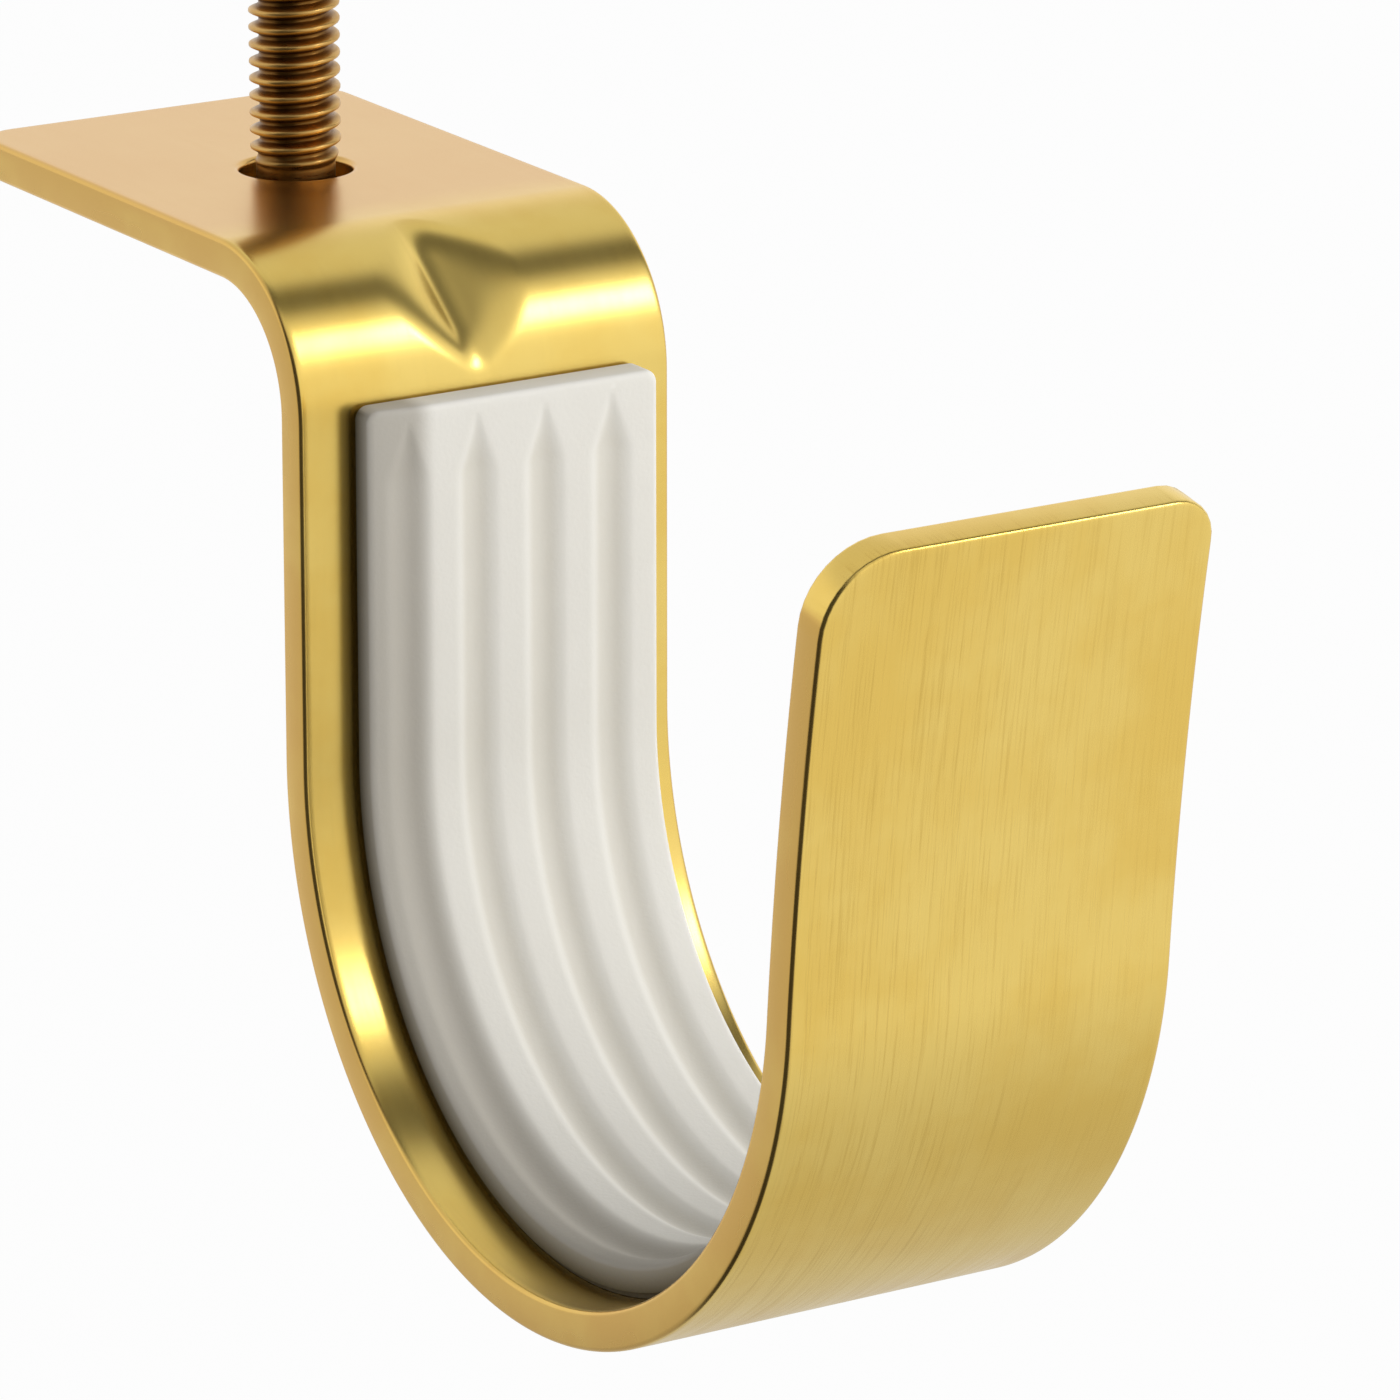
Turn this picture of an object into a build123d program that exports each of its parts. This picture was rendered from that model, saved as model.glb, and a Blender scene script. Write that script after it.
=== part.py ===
from build123d import *
import os
from math import atan2, cos, degrees, radians, sin, sqrt

# Curtain rod hook: a brass strap bent into a tab, a leg and a J hook, lined with a fluted pad
# and hung from a screw that stands up through the tab.
# Millimetres. Z is up along the screw, X runs across the strap, and the hook's lip is on -Y.
# The origin is on the screw's axis, level with the top of the tab.

# Strap stock
strap_width = 19.05
strap_thickness = 1.8
edge_break = 0.22

# Strap bends, measured on the face that turns from the tab's top into the inside of the hook
leg_setback = 17.0
tab_reach = 13.7
tab_corner_radius = 2.0
bend_radius = 7.1
hook_centre_drop = 22.65
hook_back_radius = 18.75
hook_front_radius = 19.5
lip_lean = 4.5
lip_length = 21.3
lip_flare_radius = 179.0
lip_near_corner_radius = 3.6
lip_far_corner_radius = 2.0

# Stiffening crease pressed across the bend
crease_offset = -0.5
crease_half_width = 2.35
crease_half_turn = 33.0
crease_root_radius = 1.5
crease_overcut = 2

# Fluted pad and the film that sticks it down
film_thickness = 0.3
film_inset = 0.25
pad_thickness = 1.6
pad_near_margin = 2.625
pad_far_margin = 1.725
pad_top_drop = 6.4
pad_lip_margin = 6.0
pad_corner_radius = 0.6
pad_edge_bevel = 0.3
flute_count = 4
flute_near_margin = 0.95
flute_far_margin = 1.6
flute_width = 1.75
flute_depth = 0.42
flute_end_margin = 0.5
flute_runout = 2.8

# Hanging screw, size 8 with 32 threads to the inch
thread_radius = 2.083
neck_undercut = 0.263
neck_rise = 0.25
screw_length = 25.4
screw_point_chamfer = 0.4
screw_hole_clearance = 0.517
head_overlap = 1.5
head_height = 2.4
head_bevel = 0.6
slot_width = 1.2
slot_depth = 1.2

# Sizes that follow from the ones above
leg_y = -leg_setback
bend_centre = Vector(leg_y + bend_radius, -bend_radius)
hook_back_centre = Vector(leg_y - hook_back_radius, -hook_centre_drop)
hook_front_centre = hook_back_centre + Vector(0, hook_front_radius - hook_back_radius)
lip_start_angle = -180 + lip_lean
lip_outward = Vector(cos(radians(lip_start_angle)), sin(radians(lip_start_angle)))
flare_centre = hook_front_centre + lip_outward * (hook_front_radius + lip_flare_radius)
lip_sweep = degrees(lip_length / lip_flare_radius)
crease_depth = bend_radius * (1 - cos(radians(crease_half_turn)))
pad_low = pad_near_margin - strap_width / 2
pad_high = strap_width / 2 - pad_far_margin
pad_middle = (pad_low + pad_high) / 2
pad_face = film_thickness + pad_thickness
pad_lip_distance = lip_length - pad_lip_margin
first_flute = pad_low + flute_near_margin + flute_width / 2
last_flute = pad_high - flute_far_margin - flute_width / 2
flute_pitch = (last_flute - first_flute) / (flute_count - 1)
flute_end = flute_end_margin + flute_runout
screw_hole_radius = thread_radius + screw_hole_clearance
neck_radius = thread_radius - neck_undercut
head_radius = screw_hole_radius + head_overlap
bearing_z = -strap_thickness


def strap_edges(shift):
    """Edges of the strap's profile, moved by shift from the padded face into the metal"""
    tab = Line((tab_reach, -shift), (bend_centre.X, -shift))
    bend = CenterArc((bend_centre.X, bend_centre.Y), bend_radius - shift, 90, 90)
    leg = Line((leg_y + shift, bend_centre.Y), (leg_y + shift, hook_back_centre.Y))
    back = CenterArc((hook_back_centre.X, hook_back_centre.Y), hook_back_radius + shift, -90, 90)
    front = CenterArc(
        (hook_front_centre.X, hook_front_centre.Y), hook_front_radius + shift, lip_start_angle, 90 - lip_lean
    )
    lip = CenterArc((flare_centre.X, flare_centre.Y), lip_flare_radius - shift, lip_lean, lip_sweep)
    return [tab, bend, leg, back, front, lip]


def closed_face(edges):
    """Flat face inside the given edges, stood up in the hook's side view"""
    return Plane.YZ * make_face(edges)


def strap_profile():
    """Closed side outline of the bent strap"""
    face = strap_edges(0)
    back = strap_edges(strap_thickness)
    return closed_face(face + back + [Line(face[0] @ 0, back[0] @ 0), Line(face[-1] @ 1, back[-1] @ 1)])


def corner_edge(solid, across, face_point, back_point):
    """The edge through the strap's thickness, at one side of one end"""
    middle = (face_point + back_point) / 2
    return solid.edges().sort_by_distance(Vector(across, middle.X, middle.Y))[0]


def is_outline(edge):
    """True for the sharp edges round the strap's two faces, at one end or along its length"""
    through_metal = abs(edge.length - strap_thickness) < edge_break / 2
    across_strap = abs(edge.center().X) < edge_break and edge.geom_type == GeomType.LINE
    at_tab_end = edge.center().Y > tab_reach - edge_break
    return not through_metal and (at_tab_end or not across_strap)


def bent_strap():
    """Strap with its ends rounded and its edges broken, before the hole and the crease"""
    strap = extrude(strap_profile(), strap_width / 2, both=True)
    face = strap_edges(0)
    back = strap_edges(strap_thickness)
    half = strap_width / 2
    tab_corners = [corner_edge(strap, side, face[0] @ 0, back[0] @ 0) for side in (-half, half)]
    strap = fillet(tab_corners, tab_corner_radius)
    strap = fillet(corner_edge(strap, -half, face[-1] @ 1, back[-1] @ 1), lip_near_corner_radius)
    strap = fillet(corner_edge(strap, half, face[-1] @ 1, back[-1] @ 1), lip_far_corner_radius)
    return chamfer(strap.edges().filter_by(is_outline), edge_break)


def crease_section(radius):
    """V of the pressed crease, open outwards, with its root rounded to radius"""
    half, rise = crease_overcut * crease_half_width, crease_overcut * crease_depth
    outline = make_face(Polyline((0, 0), (half, rise), (-half, rise), close=True))
    return fillet(outline.vertices().sort_by(Axis.Y)[0:1], radius)


def crease_plane(depth_below):
    """Plane square to the crease's line, set deeper into the bend by depth_below"""
    outward = Vector(0, -sqrt(0.5), sqrt(0.5))
    centre = Vector(crease_offset, bend_centre.X, bend_centre.Y)
    root = centre + outward * (bend_radius - crease_depth - depth_below)
    return Plane(origin=root, x_dir=(1, 0, 0), z_dir=Vector(1, 0, 0).cross(outward))


def add_crease(strap):
    """Press a crease across the outside of the bend, which stands out as a rib on its inside"""
    flank = atan2(crease_depth, crease_half_width)
    rib_plane = crease_plane(strap_thickness / cos(flank))
    rib = extrude(rib_plane * crease_section(crease_root_radius + strap_thickness), bend_radius, both=True)
    middle_of_metal = Cylinder(bend_radius - strap_thickness / 2, strap_width, rotation=(0, 90, 0))
    rib = rib & (Pos(0, bend_centre.X, bend_centre.Y) * middle_of_metal)
    groove = extrude(crease_plane(0) * crease_section(crease_root_radius), bend_radius, both=True)
    return strap + rib - groove


def hook_strap():
    """The bent brass strap with its crease and the hole for the screw"""
    hole = extrude(Circle(screw_hole_radius), strap_thickness, both=True)
    return add_crease(bent_strap()) - hole


def path_plane(centre, radius, angle, towards_centre):
    """Section plane on the padded face of an arc, with its y axis into the hook's space"""
    spoke = Vector(0, cos(radians(angle)), sin(radians(angle)))
    inward = spoke * -1 if towards_centre else spoke
    point = Vector(0, centre.X, centre.Y) + spoke * radius
    return Plane(origin=point, x_dir=(1, 0, 0), z_dir=Vector(1, 0, 0).cross(inward))


def leg_plane(drop):
    """Section plane on the padded face of the leg, at drop below the tab's top"""
    return Plane(origin=(0, leg_y, -drop), x_dir=(1, 0, 0), z_dir=(0, 0, -1))


def back_plane(angle):
    return path_plane(hook_back_centre, hook_back_radius, angle, True)


def front_plane(angle):
    return path_plane(hook_front_centre, hook_front_radius, angle, True)


def lip_plane(distance):
    """Section plane on the padded face of the lip, at distance along it from the hook's curve"""
    return path_plane(flare_centre, lip_flare_radius, lip_lean + degrees(distance / lip_flare_radius), False)


def x_axis_at(centre, direction):
    return Axis((0, centre.X, centre.Y), (direction, 0, 0))


def lining(section, top_drop, lip_distance):
    """Strip of constant section along the leg, round the hook and up the lip"""
    leg = extrude(leg_plane(top_drop) * section, hook_centre_drop - top_drop)
    back = revolve(back_plane(0) * section, x_axis_at(hook_back_centre, -1), 90)
    front = revolve(front_plane(-90) * section, x_axis_at(hook_front_centre, -1), 90 - lip_lean)
    turn = degrees(lip_distance / lip_flare_radius)
    lip = revolve(lip_plane(0) * section, x_axis_at(flare_centre, 1), turn)
    return leg + back + front + lip


def flute_centres():
    return [first_flute + flute_pitch * i for i in range(flute_count)]


def flute_hollow(centre):
    """Arc across the pad's face that one flute sinks along"""
    half = flute_width / 2
    return ThreePointArc((centre - half, pad_face), (centre, pad_face - flute_depth), (centre + half, pad_face))


def pad_section():
    """Section across the pad, from the film to its fluted face"""
    low, high, back, face, bevel = pad_low, pad_high, film_thickness, pad_face, pad_edge_bevel
    edges = [Line((low, face - bevel), (low + bevel, face))]
    for centre in flute_centres():
        hollow = flute_hollow(centre)
        edges += [Line(edges[-1] @ 1, hollow @ 0), hollow]
    shoulder, side = (high - bevel, face), (high, face - bevel)
    edges.append(Polyline(edges[-1] @ 1, shoulder, side, (high, back), (low, back), (low, face - bevel)))
    return make_face(edges)


def flute_tips(base, tip):
    """Cutters that carry the flutes from full size at one plane to points on the face at another"""
    cutters = []
    for centre in flute_centres():
        hollow = flute_hollow(centre)
        start, end = hollow @ 0, hollow @ 1
        rise = Vector(0, flute_depth)
        mouth = make_face([hollow, Polyline(end, end + rise, start + rise, start)])
        point = tip.from_local_coords((centre, pad_face, 0))
        cutters.append(loft([base * mouth, Vertex(point)]))
    return cutters


def strip_section(low, high, back, face):
    """Plain rectangle across the strap, from low to high and from back to face"""
    return Pos((low + high) / 2, (back + face) / 2) * Rectangle(high - low, face - back)


def rounded_end(block, plane):
    """Round the corners and bevel the face edges of a plain pad end that starts or stops at plane"""
    middle = (film_thickness + pad_face) / 2
    corners = [
        block.edges().sort_by_distance(plane.from_local_coords((side, middle, 0)))[0] for side in (pad_low, pad_high)
    ]
    block = fillet(corners, pad_corner_radius)
    rim = block.edges().sort_by_distance(plane.from_local_coords((pad_middle, pad_face, 0)))[0]
    return chamfer(rim, pad_edge_bevel)


def hook_pad():
    """The fluted pad, with its flutes run out to points short of both ends"""
    top, top_tips = leg_plane(pad_top_drop), leg_plane(pad_top_drop + flute_end_margin)
    end, end_tips = lip_plane(pad_lip_distance), lip_plane(pad_lip_distance - flute_end_margin)
    top_base, end_base = leg_plane(pad_top_drop + flute_end), lip_plane(pad_lip_distance - flute_end)
    blank = strip_section(pad_low, pad_high, film_thickness, pad_face)
    body = lining(pad_section(), pad_top_drop + flute_end, pad_lip_distance - flute_end)
    leg_end = rounded_end(extrude(top * blank, flute_end), top)
    turn = degrees(flute_end / lip_flare_radius)
    lip_end = rounded_end(revolve(end_base * blank, x_axis_at(flare_centre, 1), turn), end)
    return leg_end + body + lip_end - flute_tips(top_base, top_tips) - flute_tips(end_base, end_tips)


def pad_adhesive():
    """Film between the pad and the strap, a little smaller than the pad all round"""
    section = strip_section(pad_low + film_inset, pad_high - film_inset, 0, film_thickness)
    return lining(section, pad_top_drop + film_inset, pad_lip_distance - film_inset)


def screw_profile():
    """Half section of the screw: flat head, short neck and plain cylinder at the thread's outside"""
    head_z = bearing_z - head_height
    point_z = bearing_z + screw_length
    outline = make_face(
        Polyline(
            (0, head_z),
            (head_radius, head_z),
            (head_radius, bearing_z),
            (neck_radius, bearing_z),
            (neck_radius, neck_rise - neck_undercut),
            (thread_radius, neck_rise),
            (thread_radius, point_z - screw_point_chamfer),
            (thread_radius - screw_point_chamfer, point_z),
            (0, point_z),
            close=True,
        )
    )
    rim = outline.vertices().sort_by_distance((head_radius, head_z))[0:1]
    return Plane.XZ * chamfer(rim, head_bevel)


def hanging_screw():
    """Slotted screw that holds the tab up by its head"""
    slot_z = bearing_z - head_height
    slot = Pos(0, 0, slot_z) * Box(2 * (head_radius + slot_width), slot_width, 2 * slot_depth)
    return revolve(screw_profile(), Axis.Z) - slot


def write_parts():
    """Write one file for each piece"""
    os.makedirs("parts", exist_ok=True)
    for piece in (hook_strap, hook_pad, pad_adhesive, hanging_screw):
        export_step(piece(), f"parts/{piece.__name__}.step")


if __name__ == "__main__":
    write_parts()
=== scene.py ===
import math

import bmesh
import bpy
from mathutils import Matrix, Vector


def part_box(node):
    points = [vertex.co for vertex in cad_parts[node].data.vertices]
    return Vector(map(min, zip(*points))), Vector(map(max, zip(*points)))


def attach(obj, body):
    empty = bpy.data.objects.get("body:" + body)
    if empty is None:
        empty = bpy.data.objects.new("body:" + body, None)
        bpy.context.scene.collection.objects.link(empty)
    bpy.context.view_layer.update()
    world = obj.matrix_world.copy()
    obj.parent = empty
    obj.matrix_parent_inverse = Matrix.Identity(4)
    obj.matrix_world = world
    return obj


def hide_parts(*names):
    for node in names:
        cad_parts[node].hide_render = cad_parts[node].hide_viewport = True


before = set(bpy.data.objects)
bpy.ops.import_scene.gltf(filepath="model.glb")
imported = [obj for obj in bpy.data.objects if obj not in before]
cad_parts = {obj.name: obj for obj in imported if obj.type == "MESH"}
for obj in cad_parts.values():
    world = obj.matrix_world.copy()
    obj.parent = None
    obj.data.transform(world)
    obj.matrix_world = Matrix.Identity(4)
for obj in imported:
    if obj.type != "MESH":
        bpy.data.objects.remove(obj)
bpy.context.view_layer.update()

# Dresses the curtain rod bracket: a brass strap bent into a hook, its fluted pad and film, and its screw.
# Metres, in the model's own frame: Z up along the screw, X across the strap, the hook's lip on -Y.

bl_info = {
    "name": "Rod bracket dressing",
    "version": (1, 0, 0),
    "blender": (4, 5, 0),
    "location": "3D View > Sidebar > Rod Bracket",
    "description": "Builds the finished surfaces of a brass curtain rod bracket round its solid model",
    "category": "Object",
}

MM = 0.001
BODY = "root"
STREAK_SEED = 3.7

# The grid of a bent slab stops this many rim radii inside its outline.
RIM_SUPPORT = 1.8
# Half the square patch of the strap's grid that holds the hole.
HOLE_PATCH = 4 * MM
# Grid step on each run of the strap's path after the tab, in millimetres.
RUN_STEPS = (0.13, 0.8, 0.4, 0.4, 0.6)
PAD_STEP = 0.144 * MM
FILM_STEP = 0.9 * MM
# Rows of the pad's grid lie this many times as far apart as its columns.
ROW_STRETCH = 1.6
THREAD_AROUND = 64
THREAD_ROWS_PER_PITCH = 14
# Rounding where no rounded edge shows.
SHARP = 0.02 * MM
# How far the shank reaches into the screw's head.
SHANK_OVERLAP = 0.3 * MM
# Share of the thread's depth that stands out past the plain neck.
CREST_SHARE = 0.57
# From the screw's axis back to the middle of the hook, in metres.
HOOK_BACK = 0.036
# Parts along X and Y of the direction in which metal shows the dark card.
CARD_X, CARD_Y = -0.85, -0.53


def titled(kind):
    """Gives each setting of the group its title, made from its identifier"""
    for name, setting in kind.__annotations__.items():
        setting.keywords["name"] = name.replace("_", " ").capitalize()
    return kind


def number(description, value, **options):
    return bpy.props.FloatProperty(description=description, default=value, **options)


def length(description, millimetres):
    """A size in metres whose default is given in millimetres"""
    return number(description, millimetres * MM, unit="LENGTH", precision=5)


def turn(description, degrees):
    return number(description, math.radians(degrees), subtype="ANGLE")


def share(description, value):
    return number(description, value, min=0, max=1, subtype="FACTOR")


def vector(description, value, **options):
    return bpy.props.FloatVectorProperty(
        description=description, default=value, size=len(value), **options
    )


def colour(description, value):
    return vector(description, value, min=0, max=1, subtype="COLOR")


def group(kind):
    """A group of settings, described by its own docstring"""
    return bpy.props.PointerProperty(description=kind.__doc__, type=kind)


@titled
class StrapSizes(bpy.types.PropertyGroup):
    """Sizes of the bent brass strap"""

    thickness: length("Thickness of the strap", 1.8)
    edge_radius: length("Rounding along the strap's long edges", 0.24)
    leg_setback: length("From the screw's axis to the leg's padded face", 17.0)
    tab_reach: length("From the screw's axis to the tab's free end", 13.7)
    tab_corner: length("Radius of the tab's two corners", 2.0)
    bend_radius: length("Outside radius of the bend between tab and leg", 7.1)
    hook_drop: length("From the tab's top down to the centre of the hook's back curve", 22.65)
    back_radius: length("Inside radius of the hook next to the leg", 18.75)
    front_radius: length("Inside radius of the hook next to the lip", 19.5)
    lip_lean: turn("How far the lip leans out where it leaves the curve", 4.5)
    lip_length: length("Length of the lip above the curve", 21.3)
    lip_flare: length("Radius that the lip opens outwards along", 179.0)
    lip_near_corner: length("Radius of the lip's corner on the -X side", 3.6)
    lip_far_corner: length("Radius of the lip's corner on the +X side", 2.0)
    hole_radius: length("Radius of the hole that the screw passes through", 2.6)
    crease_offset: length("From the middle of the strap to the crease's root", -0.5)
    crease_slant: length("How far the root moves across for each radian of the bend", 0.45)
    crease_width: length("Half the width of the pressed crease", 2.35)
    crease_turn: turn("Half the part of the bend that the crease crosses", 33.0)
    crease_root: length("Radius along the crease's root", 1.5)
    crease_soft: length("Softness of the edge where the crease meets the bend", 0.65)


@titled
class PadSizes(bpy.types.PropertyGroup):
    """Sizes of the fluted pad and of the film that holds it"""

    film: length("Thickness of the film under the pad", 0.3)
    film_inset: length("How far the film stays inside the pad's edges", 0.25)
    thickness: length("Thickness of the pad above its film", 1.6)
    top_drop: length("From the tab's top down to the pad's upper end", 6.4)
    lip_margin: length("From the lip's end to the pad's other end", 6.0)
    corner: length("Radius of the pad's four corners", 0.6)
    edge_radius: length("Rounding along the pad's face edges", 0.3)
    flute_count: bpy.props.IntProperty(description="Number of flutes", default=4, min=2)
    near_margin: length("From the pad's -X side to its first flute", 0.95)
    far_margin: length("From the last flute to the pad's +X side", 1.6)
    flute_width: length("Width of one flute between its shoulders", 1.75)
    flute_soft: length("Softness of a flute's shoulders", 0.3)
    flute_depth: length("Depth of one flute", 0.42)
    roll_width: length("Width over which the pad's -X edge rolls down", 3.4)
    roll_depth: length("How far the pad's -X edge rolls down", 0.45)
    end_margin: length("From the pad's end to the flutes' points", 0.5)
    runout: length("Length over which a flute widens from its point", 2.8)


@titled
class ScrewSizes(bpy.types.PropertyGroup):
    """Sizes of the threaded screw"""

    outside_radius: length("Radius at the outside of the thread", 2.083)
    pitch: length("Distance from ridge to ridge of the thread", 0.794)
    thread_depth: length("Depth of the thread", 0.46)
    neck: length("Plain length between the head and the thread", 2.05)
    head_height: length("Height of the head", 2.4)
    head_bevel: length("Rounding of the head's rim", 0.6)
    head_chamfer: length("Chamfer of the head's edge next to the tab", 0.15)
    slot_width: length("Width of the slot in the head", 1.2)
    slot_depth: length("Depth of the slot in the head", 1.2)
    slot_bevel: length("Rounding of the slot's edges", 0.08)


@titled
class Finishes(bpy.types.PropertyGroup):
    """Colours and roughness of the materials"""

    brass: colour("Colour of the polished brass", (0.89, 0.655, 0.185))
    brass_warm: colour("Colour of the brass where it has toned", (0.84, 0.58, 0.135))
    brass_line: colour("Colour in the deeper brush lines", (0.6, 0.39, 0.08))
    # Painted shade: the strap's side edges are coloured darker and more orange.
    brass_edge_shade: colour("Colour of the strap's cut edges", (0.74, 0.46, 0.12))
    # Painted reflection: the tab's upper face is coloured with the warm tan that it mirrors.
    brass_tab_reflection: colour("Colour of the tab's toned upper face", (0.7, 0.39, 0.13))
    brass_rough: share("Mean roughness of the brushed brass", 0.24)
    brush_depth: length("Depth of the brush lines", 0.004)
    pad: colour("Colour of the pad's lands", (0.91, 0.89, 0.83))
    # Painted shade in the flutes.
    pad_flute_shade: colour("Colour of the pad in its flutes", (0.8, 0.77, 0.69))
    # Painted shade along the pad's -X edge.
    pad_near_shade: colour("Colour of the pad where its -X edge is soiled", (0.55, 0.52, 0.46))
    # Painted shade on the lower part of the pad's side walls.
    pad_side_shade: colour("Colour of the pad's side walls", (0.12, 0.11, 0.09))
    pad_rough: share("Roughness of the pad", 0.62)
    pad_grain: length("Depth of the pad's grain", 0.012)
    # Painted shade: the film under the pad is coloured near-black, darkening the pad's base.
    film: colour("Colour of the film under the pad", (0.045, 0.04, 0.035))
    film_grain: length("Depth of the film's grain", 0.01)
    crest: colour("Colour of the thread's ridges", (0.66, 0.4, 0.12))
    # Painted shade: the thread's roots are coloured dark.
    root: colour("Colour in the root of the thread", (0.16, 0.07, 0.015))
    scratch_depth: length("Depth of the screw's scratches", 0.004)


@titled
class StageSettings(bpy.types.PropertyGroup):
    """Camera, lamps and floor"""

    lens: number("Focal length in millimetres", 233.14)
    camera_place: vector("Place of the camera in metres", (-0.19775, -0.35212, 0.098))
    azimuth: turn("Turn of the camera round Z from looking along +Y", -31.94)
    elevation: turn("Height of the camera as an angle", 17.02)
    floor_drop: length("From the hook's lowest point down to the floor", 45.0)
    floor_size: length("Width of the floor", 6000.0)
    floor: colour("Colour of the floor", (0.86, 0.86, 0.86))
    floor_white: share("How far the floor glows to the camera and to metal", 0.96)
    ambient: share("Light from the surroundings on matt surfaces", 1.0)
    left_dim: share("How much less light comes from the -X side", 0.6)
    zenith: share("Brightness that metal shows from overhead", 0.75)
    gap: share("Brightness that metal shows in the dark strip overhead", 0.12)
    card: share("Brightness of the dark card that metal shows from the front left", 0.06)
    target: vector("Place that both lamps face, in metres", (0, -0.03, -0.02))
    key_place: vector("From the lamp target to the key lamp", (0.38, -0.45, 0.42))
    key_size: vector("Width and height of the key lamp", (0.1, 0.16))
    key_power: number("Power of the key lamp in watts", 0.5)
    side_place: vector("From the lamp target to the side lamp", (0.75, 0.1, 0.12))
    side_size: vector("Width and height of the side lamp", (0.4, 0.5))
    side_power: number("Power of the side lamp in watts", 1.1)


@titled
class BracketSettings(bpy.types.PropertyGroup):
    """All the settings of the bracket"""

    strap: group(StrapSizes)
    pad: group(PadSizes)
    screw: group(ScrewSizes)
    finish: group(Finishes)
    stage: group(StageSettings)


def combining(operation):
    """Method that puts a number and what it is called with through one operation"""

    def method(self, *others):
        return self.sum(operation, self, *others)

    return method


class Amount:
    """A number socket of a node tree, which adds and multiplies like a Python number"""

    def __init__(self, nodes, socket):
        self.nodes = nodes
        self.socket = socket

    def sum(self, operation, *terms):
        node = self.nodes.add("ShaderNodeMath", {"operation": operation}, dict(enumerate(terms)))
        return Amount(self.nodes, node.outputs[0])

    __add__, __sub__ = combining("ADD"), combining("SUBTRACT")
    __mul__, __truediv__ = combining("MULTIPLY"), combining("DIVIDE")
    __gt__, __lt__, __abs__ = combining("GREATER_THAN"), combining("LESS_THAN"), combining("ABSOLUTE")
    least, most, power = combining("MINIMUM"), combining("MAXIMUM"), combining("POWER")
    rounded, fraction = combining("ROUND"), combining("FRACT")
    cosine, sine = combining("COSINE"), combining("SINE")

    def __rsub__(self, other):
        return self.sum("SUBTRACT", other, self)

    def between(self, low, high):
        """Low where this number is zero, high where it is one"""
        return (1 - self) * low + self * high

    def eased(self, low, high, start=0.0, end=1.0):
        """Smooth step from start to end while the number goes from low to high"""
        node = self.nodes.add(
            "ShaderNodeMapRange",
            {"interpolation_type": "SMOOTHSTEP"},
            {"Value": self, "From Min": low, "From Max": high, "To Min": start, "To Max": end},
        )
        return Amount(self.nodes, node.outputs["Result"])


class Nodes:
    """Adds nodes to one node tree"""

    def __init__(self, tree):
        self.tree = tree
        tree.nodes.clear()

    def add(self, kind, settings=None, sockets=None):
        """A node of this kind. Its settings are set before its sockets' values and links"""
        node = self.tree.nodes.new(kind)
        for name, value in (settings or {}).items():
            setattr(node, name, value)
        for key, value in (sockets or {}).items():
            self.feed(node.inputs[key], value)
        return node

    def feed(self, socket, value):
        """Links the socket to a value of the tree, or sets its own value"""
        if isinstance(value, Amount):
            value = value.socket
        if isinstance(value, bpy.types.NodeSocket):
            self.tree.links.new(value, socket)
        else:
            socket.default_value = value

    def amount(self, socket):
        return Amount(self, socket)

    def xyz(self, vector):
        node = self.add("ShaderNodeSeparateXYZ", {}, {"Vector": vector})
        return [self.amount(socket) for socket in node.outputs]

    def vector(self, x, y, z):
        return self.add("ShaderNodeCombineXYZ", {}, {"X": x, "Y": y, "Z": z}).outputs[0]

    def noise(self, vector, scale, detail=2.0, roughness=0.5):
        node = self.add(
            "ShaderNodeTexNoise",
            {"noise_dimensions": "3D"},
            {"Vector": vector, "Scale": scale, "Detail": detail, "Roughness": roughness},
        )
        return self.amount(node.outputs["Fac"])

    def mixed(self, amount, low, high):
        """Colour between low and high"""
        node = self.add("ShaderNodeMix", {"data_type": "RGBA"}, {0: amount, 6: low, 7: high})
        return node.outputs[2]


def rgba(value):
    return (*value, 1.0)


class Finish:
    """A new material with one Principled shader"""

    def __init__(self, name):
        self.material = bpy.data.materials.new(name)
        self.material.use_nodes = True
        self.nodes = Nodes(self.material.node_tree)
        self.shader = self.nodes.add("ShaderNodeBsdfPrincipled")
        self.nodes.add("ShaderNodeOutputMaterial", {}, {"Surface": self.shader.outputs[0]})

    def set(self, **sockets):
        """Sets or links the shader's sockets, named with underscores for spaces"""
        for name, value in sockets.items():
            self.nodes.feed(self.shader.inputs[name.replace("_", " ")], value)

    def bump(self, height, depth):
        node = self.nodes.add("ShaderNodeBump", {}, {"Strength": 1.0, "Distance": depth, "Height": height})
        self.set(Normal=node.outputs[0])

    def own_place(self):
        return self.nodes.add("ShaderNodeTexCoord").outputs["Object"]

    def surface_place(self):
        return self.nodes.add("ShaderNodeUVMap", {"uv_map": "surface"}).outputs[0]

    def stored(self, name):
        """Number that the mesh keeps at each point under this name"""
        node = self.nodes.add("ShaderNodeAttribute", {"attribute_name": name})
        return self.nodes.amount(node.outputs["Fac"])


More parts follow.
